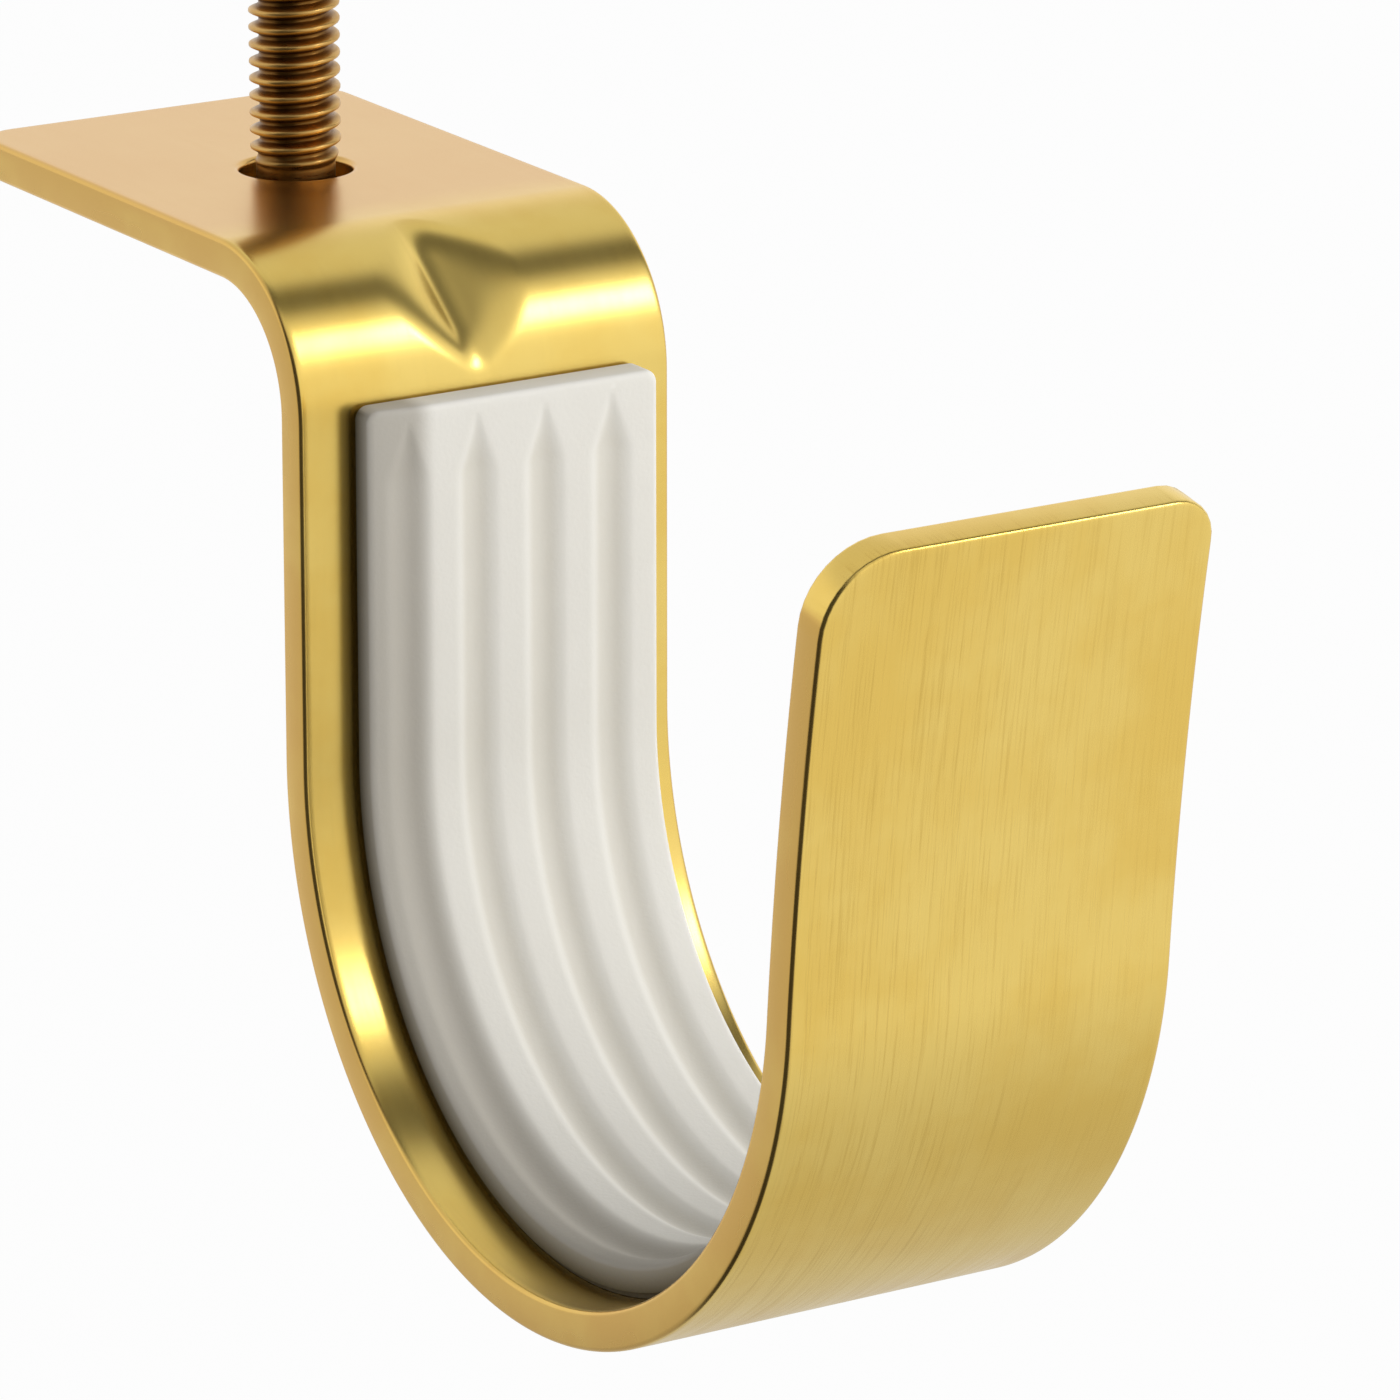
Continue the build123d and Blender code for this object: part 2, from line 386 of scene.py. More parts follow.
def brushed_brass(finish, half_width):
    """Satin brass, toned in patches, with lines along its outer face, a painted reflection on the tab's
    upper face and painted shade on the side edges
    """
    made = Finish("brushed brass")
    nodes = made.nodes
    across, along, _ = nodes.xyz(made.surface_place())
    _, y, z = nodes.xyz(made.own_place())

    def streaks(per_metre_across, per_metre_along, detail, roughness):
        place = nodes.vector(across * per_metre_across, along * per_metre_along, STREAK_SEED)
        return nodes.noise(place, 1.0, detail, roughness)

    fine_lines = streaks(8500, 190, 4.0, 0.65)
    broad_lines = streaks(1500, 60, 3.0, 0.6)
    patches = nodes.noise(made.own_place(), 110.0, 4.0, 0.6)
    outside = made.stored("lift").eased(-1.4 * MM, -0.8 * MM, 1.0, 0.15)
    brushed = (across * -1).eased(-7 * MM, 3 * MM, 0.45, 1.0) * outside
    lines = (fine_lines * 0.7 + broad_lines * 0.3 - 0.5) * outside + 0.5
    deep = fine_lines.eased(0.48, 0.72) * brushed * 0.42
    # Tab's upper face, which gets the painted reflection.
    on_tab = z.eased(-0.7 * MM, -0.1 * MM) * y.eased(-13 * MM, -7 * MM)
    # Side edges of the strap, which get painted shade varied in patches.
    on_edge = abs(across).eased(half_width - 0.2 * MM, half_width - 0.05 * MM)
    toned = nodes.mixed(patches.eased(0.35, 0.68), rgba(finish.brass), rgba(finish.brass_warm))
    lined = nodes.mixed(deep, toned, rgba(finish.brass_line))
    tab = nodes.mixed(on_tab * 0.75, lined, rgba(finish.brass_tab_reflection))
    made.set(
        Base_Color=nodes.mixed(on_edge * patches.eased(0.3, 0.6, 0.6, 1.0), tab, rgba(finish.brass_edge_shade)),
        Metallic=1.0,
        Roughness=lines.eased(0.3, 0.7, finish.brass_rough * 0.8, finish.brass_rough * 1.3),
    )
    made.bump(lines, finish.brush_depth)
    return made.material


def soft_pad(finish):
    """Matt off-white rubber, with painted shade in the flutes, along its -X edge and on its side walls"""
    made = Finish("soft pad")
    nodes = made.nodes
    grain = nodes.noise(made.own_place(), 5200.0, 2.0)
    blotches = nodes.noise(made.own_place(), 160.0, 3.0)
    # Painted shade where the flutes sink, with random blotches.
    shade = made.stored("sunk").eased(0.1, 0.9) * 0.85 + blotches.eased(0.3, 0.75) * 0.15
    flute_shaded = nodes.mixed(shade, rgba(finish.pad), rgba(finish.pad_flute_shade))
    # Painted shade along the -X edge, then on the side walls.
    face = nodes.mixed(made.stored("in_painted_shade"), flute_shaded, rgba(finish.pad_near_shade))
    made.set(
        Base_Color=nodes.mixed(made.stored("wall"), face, rgba(finish.pad_side_shade)),
        Roughness=grain.eased(0.2, 0.8, finish.pad_rough * 0.9, finish.pad_rough * 1.1),
        Specular_IOR_Level=0.35,
    )
    made.bump(grain, finish.pad_grain)
    return made.material


def dark_film(finish):
    """Matt film, painted near-black as the shade along the pad's base, with a slight grain"""
    made = Finish("dark film")
    nodes = made.nodes
    grain = nodes.noise(made.own_place(), 2400.0, 2.0)
    lighter = [channel * 2 for channel in finish.film]
    made.set(
        Base_Color=nodes.mixed(grain.eased(0.35, 0.75), rgba(finish.film), rgba(lighter)),
        Roughness=grain.eased(0.2, 0.8, 0.5, 0.75),
    )
    made.bump(grain, finish.film_grain)
    return made.material


def screw_brass(finish, root_radius, outside_radius):
    """Brass with painted shade in the thread: bright on the ridges and dark in the roots"""
    made = Finish("screw brass")
    nodes = made.nodes
    place = made.own_place()
    x, y, z = nodes.xyz(place)
    radius = (x * x + y * y).power(0.5)
    ridge = radius.eased(root_radius, outside_radius)
    speckle = nodes.noise(place, 1500.0, 3.0)
    scratches = nodes.noise(nodes.vector(x * 900, y * 900, z * 9000), 1.0, 2.0)
    # Painted shade by radius, dark in the roots and bright on the ridges, with random speckle.
    tone = (ridge * 0.85 + speckle * 0.3 - 0.08).least(1).most(0)
    made.set(
        Base_Color=nodes.mixed(tone, rgba(finish.root), rgba(finish.crest)),
        Metallic=1.0,
        Roughness=scratches.eased(0.25, 0.75, 0.26, 0.42),
    )
    made.bump(scratches, finish.scratch_depth)
    return made.material


def linked(name, data):
    """New object in the scene with this data"""
    obj = bpy.data.objects.new(name, data)
    bpy.context.scene.collection.objects.link(obj)
    return obj


def from_bmesh(name, work):
    """New object made of this working mesh, which is freed"""
    mesh = bpy.data.meshes.new(name)
    work.to_mesh(mesh)
    work.free()
    return linked(name, mesh)


class BentPath:
    """Line in the side view, of straight and evenly bent runs, with the pad on its right"""

    def __init__(self, start, heading, runs):
        self.runs = []
        for run_length, run_turn in runs:
            self.runs.append((start, heading, run_length, run_turn))
            start, heading = self.travel(start, heading, run_length, run_turn, run_length)
        self.length = sum(run[2] for run in self.runs)

    @staticmethod
    def travel(start, heading, run_length, run_turn, distance):
        """Point and heading at this distance along one run"""
        new_heading = heading + run_turn * distance / run_length
        if not run_turn:
            step = Vector((math.cos(heading), math.sin(heading))) * distance
            return start + step, new_heading
        radius = run_length / run_turn
        swing = Vector(
            (math.sin(new_heading) - math.sin(heading), math.cos(heading) - math.cos(new_heading))
        )
        return start + swing * radius, new_heading

    def at(self, distance):
        """Point and heading at this distance along the whole line"""
        before = 0.0
        for run in self.runs:
            if distance <= before + run[2] or run is self.runs[-1]:
                return self.travel(*run, distance - before)
            before += run[2]

    def place(self, across, along, lift):
        """Point in space, raised by lift on the padded side"""
        point, heading = self.at(along)
        return Vector(
            (across, point.x + math.sin(heading) * lift, point.y - math.cos(heading) * lift)
        )

    def up(self, along):
        heading = self.at(along)[1]
        return Vector((0, math.sin(heading), -math.cos(heading)))


def strap_path(strap):
    """Padded face of the strap, from the tab's free end to the lip's end"""
    tab = strap.tab_reach + strap.leg_setback - strap.bend_radius
    return BentPath(
        Vector((strap.tab_reach, 0)),
        math.pi,
        [
            (tab, 0),
            (strap.bend_radius * math.pi / 2, math.pi / 2),
            (strap.hook_drop - strap.bend_radius, 0),
            *hook_runs(strap),
            (strap.lip_length, strap.lip_length / strap.lip_flare),
        ],
    )


def hook_runs(strap):
    """The two curves of the hook"""
    front_turn = math.pi / 2 - strap.lip_lean
    return [
        (strap.back_radius * math.pi / 2, -math.pi / 2),
        (strap.front_radius * front_turn, -front_turn),
    ]


def pad_path(strap, pad):
    """Line that the pad follows, from its end on the leg to its end on the lip"""
    lip = strap.lip_length - pad.lip_margin
    return BentPath(
        Vector((-strap.leg_setback, -pad.top_drop)),
        math.pi * 3 / 2,
        [(strap.hook_drop - pad.top_drop, 0), *hook_runs(strap), (lip, lip / strap.lip_flare)],
    )


def evenly(low, high, count):
    """Numbers from low to high, with count steps"""
    return [low + (high - low) * i / count for i in range(count + 1)]


class FlatShape:
    """Outline of a piece before it is bent: a rectangle with its own radius at each corner"""

    corner_steps = 10
    row_gap = 0.05 * MM

    def __init__(self, low, high, start, end, start_corners, end_corners):
        self.low, self.high, self.start, self.end = low, high, start, end
        self.start_corners, self.end_corners = start_corners, end_corners

    def rows(self, middle):
        """Rows of the grid: shares of the first corners, places between them, shares of the last"""
        shares = evenly(0, 1, self.corner_steps)
        first = [("start", 1 - value) for value in shares]
        last = [("end", value) for value in shares]
        low = self.start + max(self.start_corners) + self.row_gap
        high = self.end - max(self.end_corners) - self.row_gap
        return first + [("middle", place) for place in middle if low < place < high] + last

    def edge(self, row, side, inset):
        """Place across and along where this row meets one side, with the outline drawn in by inset"""
        kind, value = row
        edge_x = self.low + inset if side == 0 else self.high - inset
        if kind == "middle":
            return edge_x, value
        corners = self.start_corners if kind == "start" else self.end_corners
        radius, largest = corners[side], max(corners)
        straight = largest - radius
        travelled = value * (straight + radius * math.pi / 2)
        from_largest = min(travelled, straight)
        angle = max(0.0, travelled - straight) / radius
        inward = (radius - inset) * (1 - math.cos(angle))
        from_largest += (radius - inset) * math.sin(angle)
        across = edge_x + inward if side == 0 else edge_x - inward
        if kind == "start":
            return across, self.start + largest - from_largest
        return across, self.end - largest + from_largest


class Shell:
    """Collects the points and faces of one closed mesh, each point with its place on the flat surface"""

    def __init__(self):
        self.points, self.flats, self.ups, self.lifts, self.faces = [], [], [], [], []

    def add(self, point, flat, up, lift):
        self.points.append(point)
        self.flats.append(flat)
        self.ups.append(up)
        self.lifts.append(lift)
        return len(self.points) - 1

    def bridge(self, first, second):
        """Band of faces between two closed loops of the same length"""
        for i in range(len(first)):
            j = (i + 1) % len(first)
            self.faces.append((first[i], first[j], second[j], second[i]))

    def build(self, name):
        """Object made of the points and faces, with outward normals and its flat places as a map"""
        mesh = bpy.data.meshes.new(name)
        mesh.from_pydata(self.points, [], self.faces)
        for title, kind, values in (
            ("flat", "FLOAT_VECTOR", [(*flat, 0.0) for flat in self.flats]),
            ("up", "FLOAT_VECTOR", self.ups),
            ("lift", "FLOAT", self.lifts),
        ):
            attribute = mesh.attributes.new(title, kind, "POINT")
            key = "value" if kind == "FLOAT" else "vector"
            for item, value in zip(attribute.data, values):
                setattr(item, key, value)
        work = bmesh.new()
        work.from_mesh(mesh)
        loose = [vertex for vertex in work.verts if not vertex.link_faces]
        bmesh.ops.delete(work, geom=loose, context="VERTS")
        bmesh.ops.recalc_face_normals(work, faces=work.faces)
        flat_layer = work.verts.layers.float_vector["flat"]
        surface = work.loops.layers.uv.new("surface")
        for face in work.faces:
            face.smooth = True
            for corner in face.loops:
                corner[surface].uv = corner.vert[flat_layer].xy
        work.to_mesh(mesh)
        work.free()
        return linked(name, mesh)


class HoleInSlab:
    """Round hole through a bent slab, inside a square patch of its grid"""

    ring_shares = (0.35, 0.7, 0.92, 1.0)

    def __init__(self, along, radius, patch):
        self.along, self.radius, self.patch = along, radius, patch

    def covers(self, across, along):
        return abs(across) < self.patch and abs(along - self.along) < self.patch


def bent_slab(
    name, path, shape, columns, middle_rows, face_lift, back_lift, round_face, round_back,
    dent=None, hole=None,
):
    """Closed slab that follows a path. dent(across, along, on_face) moves its two faces"""
    shell = Shell()
    rows = shape.rows(middle_rows)

    def grid_flat(row, share_across, inset):
        left, right = shape.edge(row, 0, inset), shape.edge(row, 1, inset)
        return tuple(a + (b - a) * share_across for a, b in zip(left, right))

    def point(flat, lift, on_face):
        return path.place(*flat, lift + dent(*flat, on_face) if dent else lift)

    def grid(lift, inset, on_face):
        return [
            [
                shell.add(point(flat, lift, on_face), flat, path.up(flat[1]), lift)
                for flat in (grid_flat(row, column, inset) for column in columns)
            ]
            for row in rows
        ]

    def boundary(row_count, column_count):
        last_row, last_column = row_count - 1, column_count - 1
        loop = [(0, j) for j in range(last_column)]
        loop += [(i, last_column) for i in range(last_row)]
        loop += [(last_row, j) for j in range(last_column, 0, -1)]
        return loop + [(i, 0) for i in range(last_row, 0, -1)]

    def patch_loop():
        reach = hole.patch * 1.001
        middle = [i for i, row in enumerate(rows) if row[0] == "middle" and abs(row[1] - hole.along) < reach]
        across = [grid_flat(rows[middle[0]], column, RIM_SUPPORT * round_face)[0] for column in columns]
        inside = [j for j, x in enumerate(across) if abs(x) < reach]
        top, bottom, left, right = middle[0], middle[-1], inside[0], inside[-1]
        loop = [(top, j) for j in range(left, right)]
        loop += [(i, right) for i in range(top, bottom)]
        loop += [(bottom, j) for j in range(right, left, -1)]
        return loop + [(i, left) for i in range(bottom, top, -1)]

    faces = []
    for lift, inset, on_face in (
        (face_lift, RIM_SUPPORT * round_face, True),
        (back_lift, RIM_SUPPORT * round_back, False),
    ):
        points = grid(lift, inset, on_face)
        faces.append(points)
        for i in range(len(rows) - 1):
            for j in range(len(columns) - 1):
                corners = (points[i][j], points[i][j + 1], points[i + 1][j + 1], points[i + 1][j])
                centre = sum((Vector(shell.flats[corner]) for corner in corners), Vector((0, 0))) / 4
                if not (hole and hole.covers(*centre)):
                    shell.faces.append(corners)

    quarter = [(1 - math.sin(a), 1 - math.cos(a)) for a in evenly(0, math.pi / 2, 5)]
    levels = [(round_face * inward, face_lift - round_face * down) for inward, down in quarter]
    levels += [(round_back * inward, back_lift + round_back * up) for inward, up in reversed(quarter)]
    edge = boundary(len(rows), len(columns))
    loop = [faces[0][i][j] for i, j in edge]
    for inset, lift in levels:
        flats = [grid_flat(rows[i], columns[j], inset) for i, j in edge]
        ring = [shell.add(path.place(*flat, lift), flat, path.up(flat[1]), lift) for flat in flats]
        shell.bridge(loop, ring)
        loop = ring
    shell.bridge(loop, [faces[1][i][j] for i, j in edge])

    if hole:
        patch = patch_loop()
        loop = [faces[0][i][j] for i, j in patch]
        starts = [Vector(shell.flats[index]) for index in loop]
        centre = Vector((0, hole.along))
        rays = [(start - centre).normalized() for start in starts]

        def ring_at(radius, lift, pull=1.0):
            ring = []
            for start, ray in zip(starts, rays):
                flat = start.lerp(centre + ray * radius, pull)
                ring.append(shell.add(path.place(*flat, lift), tuple(flat), path.up(hole.along), lift))
            return ring

        wide = hole.radius + round_face
        rings = [ring_at(wide, face_lift, pull) for pull in hole.ring_shares]
        rings += [ring_at(hole.radius + inward, lift) for inward, lift in levels[1:-1]]
        rings += [ring_at(wide, back_lift, pull) for pull in reversed(hole.ring_shares)]
        for ring in rings:
            shell.bridge(loop, ring)
            loop = ring
        shell.bridge(loop, [faces[1][i][j] for i, j in patch])
    return shell.build(name)


def soft_step(depth, softness):
    """Zero while depth is below zero and depth above it, rounded over softness on both sides"""
    if depth <= -softness:
        return 0.0
    if depth >= softness:
        return depth
    return (depth + softness) ** 2 / (4 * softness)


def rounded_v(across, slope, radius):
    """Height of a V at this place across it, with its root rounded"""
    flank = math.atan(slope)
    if abs(across) > radius * math.sin(flank):
        return slope * abs(across)
    return radius / math.cos(flank) - math.sqrt(radius**2 - across**2)


def crease_dent(strap, path):
    """Function that presses the crease into the bend's outside and raises its rib on the inside"""
    middle = path.runs[0][2] + path.runs[1][2] / 2
    root = strap.bend_radius * math.cos(strap.crease_turn)
    slope = (strap.bend_radius - root) / strap.crease_width
    wall = strap.thickness * math.hypot(1, slope)

    def dent(across, along, on_face):
        angle = (along - middle) / strap.bend_radius
        if abs(angle) > math.pi / 4:
            return 0.0
        from_root = across - strap.crease_offset - strap.crease_slant * angle
        if on_face:
            surface = root + rounded_v(from_root, slope, strap.crease_root)
            return -soft_step(strap.bend_radius - surface / math.cos(angle), strap.crease_soft)
        inner = strap.bend_radius - strap.thickness
        surface = root - wall + rounded_v(from_root, slope, strap.crease_root + strap.thickness)
        return -soft_step(inner - surface / math.cos(angle), strap.crease_soft)

    return dent


def finished(obj, material, node):
    """Gives the piece its one material and puts it on its body, in place of its CAD node"""
    obj.data.materials.clear()
    obj.data.materials.append(material)
    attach(obj, BODY)
    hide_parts(node)


def made_plain(obj):
    """Turns the object's modifiers into its own mesh"""
    evaluated = obj.evaluated_get(bpy.context.evaluated_depsgraph_get())
    mesh = bpy.data.meshes.new_from_object(evaluated)
    obj.modifiers.clear()
    obj.data = mesh
    return obj


class GeometryTree:
    """Geometry node group with named number inputs, run on one object"""

    def __init__(self, name, inputs):
        self.group = bpy.data.node_groups.new(name, "GeometryNodeTree")
        self.nodes = Nodes(self.group)
        sockets = self.group.interface
        sockets.new_socket("Geometry", in_out="INPUT", socket_type="NodeSocketGeometry")
        sockets.new_socket("Geometry", in_out="OUTPUT", socket_type="NodeSocketGeometry")
        for title, value in inputs.items():
            made = sockets.new_socket(title, in_out="INPUT", socket_type="NodeSocketFloat")
            made.default_value = value
        self.start = self.nodes.add("NodeGroupInput")
        self.values = inputs

    def value(self, title):
        return self.nodes.amount(self.start.outputs[title])

    def named(self, title, kind="FLOAT"):
        node = self.nodes.add("GeometryNodeInputNamedAttribute", {"data_type": kind}, {"Name": title})
        return node.outputs["Attribute"]

    def finish(self, geometry, material):
        """Realised instances with their material, as the group's result"""
        real = self.nodes.add("GeometryNodeRealizeInstances", {}, {"Geometry": geometry})
        painted = self.nodes.add(
            "GeometryNodeSetMaterial", {}, {"Geometry": real.outputs[0], "Material": material}
        )
        self.nodes.add("NodeGroupOutput", {}, {"Geometry": painted.outputs[0]})

    def run_on(self, obj):
        modifier = obj.modifiers.new(self.group.name, "NODES")
        modifier.node_group = self.group
        for item in self.group.interface.items_tree:
            if item.in_out == "INPUT" and item.name in self.values:
                modifier[item.identifier] = self.values[item.name]
        return made_plain(obj)


def flute_tree(pad, low, high, pad_length, material):
    """Sinks the flutes into a plain pad, each running out to a point near both ends"""
    flutes_span = high - low - pad.near_margin - pad.far_margin - pad.flute_width
    tree = GeometryTree(
        "flutes",
        {
            "First": low + pad.near_margin + pad.flute_width / 2,
            "Pitch": flutes_span / (pad.flute_count - 1),
            "Count": pad.flute_count,
            "Width": pad.flute_width,
            "Shoulder": pad.flute_soft,
            "Depth": pad.flute_depth,
            "End margin": pad.end_margin,
            "Run-out": pad.runout,
            "Length": pad_length,
            "Low": low,
            "High": high,
            "Film": pad.film,
            "Thickness": pad.thickness,
            "Roll width": pad.roll_width,
            "Roll depth": pad.roll_depth,
        },
    )
    nodes, value = tree.nodes, tree.value
    across, along, _ = nodes.xyz(tree.named("flat", "FLOAT_VECTOR"))
    flute = ((across - value("First")) / value("Pitch")).rounded()
    nearest = flute.most(0).least(value("Count") - 1)
    beside = abs(across - value("First") - nearest * value("Pitch"))
    from_end = along.least(value("Length") - along) - value("End margin")
    opened = (from_end / value("Run-out")).least(1).most(0)
    half_width = (value("Width") / 2 * opened).most(0.01 * MM)
    reach = beside / half_width
    arc = (1 - reach * reach) * opened * value("Depth")
    height = (nodes.amount(tree.named("lift")) - value("Film")) / value("Thickness")
    inside = height > 0.99
    edge_distance = (across - value("Low")).least(value("High") - across)
    # Mask for painted shade on the lower part of the side walls.
    wall = edge_distance.eased(0.1 * MM, 0.3 * MM, 1.0, 0.0) * height.eased(0.55, 0.95, 1.0, 0.0)
    from_low = (across - value("Low")) / value("Roll width")
    rolled = (1 - from_low).most(0)
    # Mask for painted shade along the pad's -X edge.
    in_painted_shade = from_low.eased(0.6, 0.95, 1.0, 0.0)
    shoulder = value("Shoulder") * opened.most(0.1)
    softened = (arc + shoulder).most(0)
    rounded = softened * softened / (shoulder * 4)
    depth = (arc > shoulder).between(rounded, arc) * inside
    sunk = depth / value("Depth")
    lowered = depth + rolled * rolled * height.most(0) * value("Roll depth")
    stored = tree.start
    for title, amount in {"sunk": sunk, "wall": wall, "in_painted_shade": in_painted_shade}.items():
        stored = nodes.add(
            "GeometryNodeStoreNamedAttribute",
            {"data_type": "FLOAT", "domain": "POINT"},
            {"Geometry": stored.outputs["Geometry"], "Name": title, "Value": amount},
        )
    push = nodes.add(
        "ShaderNodeVectorMath",
        {"operation": "SCALE"},
        {0: tree.named("up", "FLOAT_VECTOR"), "Scale": lowered * -1},
    )
    moved = nodes.add(
        "GeometryNodeSetPosition", {}, {"Geometry": stored.outputs[0], "Offset": push.outputs[0]}
    )
    tree.finish(moved.outputs[0], material)
    return tree


def thread_tree(sizes, around, rows, material):
    """Threaded shank from a grid that is rolled up, with its radius following the helix"""
    tree = GeometryTree("thread", sizes)
    nodes, value = tree.nodes, tree.value
    grid = nodes.add(
        "GeometryNodeMeshGrid",
        {},
        {"Size X": 1.0, "Size Y": 1.0, "Vertices X": around + 1, "Vertices Y": rows},
    )
    u, v, _ = nodes.xyz(nodes.add("GeometryNodeInputPosition").outputs[0])
    step = 1 / (rows - 1)
    row = v + 0.5
    along = ((row - step) / (1 - 2 * step)).least(1).most(0)
    height = along * value("Length")
    angle = (u + 0.5) * math.tau
    phase = (height / value("Pitch") - u).fraction()
    ridge = abs(phase - 0.5) * 2
    flank = ridge.eased(0.12, 0.88)
    threaded = (height - value("Neck")) / value("Pitch")
    strength = threaded.least(1).most(0)
    depth = value("Depth")
    outside = value("Outside radius")
    plain = outside - depth * CREST_SHARE
    radius = plain + (flank * depth - depth * (1 - CREST_SHARE)) * strength
    bevelled = radius.least(outside - depth + (value("Length") - height))
    inside_rows = (row > step / 2) * (row < 1 - step / 2)
    closed = bevelled * inside_rows
    place = nodes.vector(closed * angle.cosine(), closed * angle.sine(), height + value("Start"))
    rolled = nodes.add("GeometryNodeSetPosition", {}, {"Geometry": grid.outputs["Mesh"], "Position": place})
    merged = nodes.add(
        "GeometryNodeMergeByDistance", {}, {"Geometry": rolled.outputs[0], "Distance": 0.002 * MM}
    )
    smooth = nodes.add("GeometryNodeSetShadeSmooth", {}, {"Geometry": merged.outputs[0]})
    tree.finish(smooth.outputs[0], material)
    return tree


def screw_head(sizes, radius, bearing, steps=96):
    """Slotted head, turned from its half section"""
    low = bearing - sizes.head_height
    bevel = sizes.head_bevel
    chamfer = sizes.head_chamfer
    section = [(0, low), (radius - bevel, low)]
    for angle in evenly(0, math.pi / 2, 6)[1:]:
        section.append((radius - bevel * (1 - math.sin(angle)), low + bevel * (1 - math.cos(angle))))
    section += [(radius, bearing - chamfer), (radius - chamfer, bearing), (0, bearing)]
    spokes = [(math.cos(angle), math.sin(angle)) for angle in evenly(0, math.tau, steps)[:-1]]
    work = bmesh.new()
    rings = []
    for reach, height in section:
        rings.append([work.verts.new((reach * c, reach * s, height)) for c, s in spokes])
    for first, second in zip(rings, rings[1:]):
        for i in range(steps):
            j = (i + 1) % steps
            work.faces.new((first[i], first[j], second[j], second[i]))
    bmesh.ops.remove_doubles(work, verts=work.verts, dist=0.001 * MM)
    bmesh.ops.recalc_face_normals(work, faces=work.faces)
    head = from_bmesh("screw_head", work)
    work = bmesh.new()
    bmesh.ops.create_cube(work, size=1)
    bmesh.ops.scale(work, vec=(3 * radius, sizes.slot_width, 2 * sizes.slot_depth), verts=work.verts)
    bmesh.ops.translate(work, vec=(0, 0, low), verts=work.verts)
    cutter = from_bmesh("slot_cutter", work)
    cut = head.modifiers.new("slot", "BOOLEAN")
    cut.object, cut.operation, cut.solver = cutter, "DIFFERENCE", "EXACT"
    soften = head.modifiers.new("soft edges", "BEVEL")
    soften.width, soften.segments, soften.limit_method = sizes.slot_bevel, 2, "ANGLE"
    made_plain(head)
    bpy.data.objects.remove(cutter)
    return head


def join(first, second):
    """Adds the second object's mesh to the first's"""
    work = bmesh.new()
    work.from_mesh(first.data)
    work.from_mesh(second.data)
    work.to_mesh(first.data)
    work.free()
    bpy.data.objects.remove(second)


class BRACKET_OT_strap(bpy.types.Operator):
    """Makes the bent brass strap with its crease and its hole"""

    bl_idname = "bracket.strap"
    bl_label = "Strap"

    def execute(self, context):
        settings = context.scene.bracket
        strap = settings.strap
        path = strap_path(strap)
        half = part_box("hook_strap")[1].x
        shape = FlatShape(
            -half, half, 0, path.length,
            (strap.tab_corner, strap.tab_corner),
            (strap.lip_near_corner, strap.lip_far_corner),
        )
        grid_half = half - RIM_SUPPORT * strap.edge_radius
        right = evenly(0, HOLE_PATCH, 32) + evenly(HOLE_PATCH, grid_half, 30)[1:]
        spots = [-x for x in reversed(right[1:])] + right
        columns = [(x + grid_half) / (2 * grid_half) for x in spots]
        hole = HoleInSlab(strap.tab_reach, strap.hole_radius, HOLE_PATCH)
        hole_start, hole_end = hole.along - HOLE_PATCH, hole.along + HOLE_PATCH
        before = path.runs[0][2]
        middle = evenly(0, hole_start, 20) + evenly(hole_start, hole_end, 20)[1:]
        middle += evenly(hole_end, before, 10)[1:]
        for run, step in zip(path.runs[1:], RUN_STEPS):
            middle += evenly(before, before + run[2], round(run[2] / (step * MM)))[1:]
            before += run[2]
        obj = bent_slab(
            "brass_strap", path, shape, columns, middle, 0.0, -strap.thickness,
            strap.edge_radius, strap.edge_radius, crease_dent(strap, path), hole,
        )
        finished(obj, brushed_brass(settings.finish, half), "hook_strap")
        return {"FINISHED"}


def pad_slab(name, settings, inset, low_lift, high_lift, corner, round_face, step):
    """Slab along the pad's line, drawn in from the pad's outline by inset"""
    strap, pad = settings.strap, settings.pad
    path = pad_path(strap, pad)
    low, high = (corner_point.x for corner_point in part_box("hook_pad"))
    shape = FlatShape(
        low + inset, high - inset, inset, path.length - inset, (corner, corner), (corner, corner)
    )
    columns = evenly(0, 1, round((high - low) / step))
    rows = evenly(0, path.length, round(path.length / (step * ROW_STRETCH)))
    return bent_slab(
        name, path, shape, columns, rows, high_lift, low_lift, round_face, SHARP
    ), path


class BRACKET_OT_pad(bpy.types.Operator):
    """Makes the fluted pad"""

    bl_idname = "bracket.pad"
    bl_label = "Fluted pad"

    def execute(self, context):
        settings = context.scene.bracket
        pad = settings.pad
        top = pad.film + pad.thickness
        obj, path = pad_slab(
            "fluted_pad", settings, 0, pad.film, top, pad.corner, pad.edge_radius, PAD_STEP
        )
        low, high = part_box("hook_pad")
        material = soft_pad(settings.finish)
        flute_tree(pad, low.x, high.x, path.length, material).run_on(obj)
        finished(obj, material, "hook_pad")
        return {"FINISHED"}


class BRACKET_OT_film(bpy.types.Operator):
    """Makes the dark film under the pad"""

    bl_idname = "bracket.film"
    bl_label = "Film"

    def execute(self, context):
        settings = context.scene.bracket
        pad = settings.pad
        corner = pad.corner - pad.film_inset
        obj, _ = pad_slab("pad_film", settings, pad.film_inset, 0, pad.film, corner, SHARP, FILM_STEP)
        finished(obj, dark_film(settings.finish), "pad_adhesive")
        return {"FINISHED"}


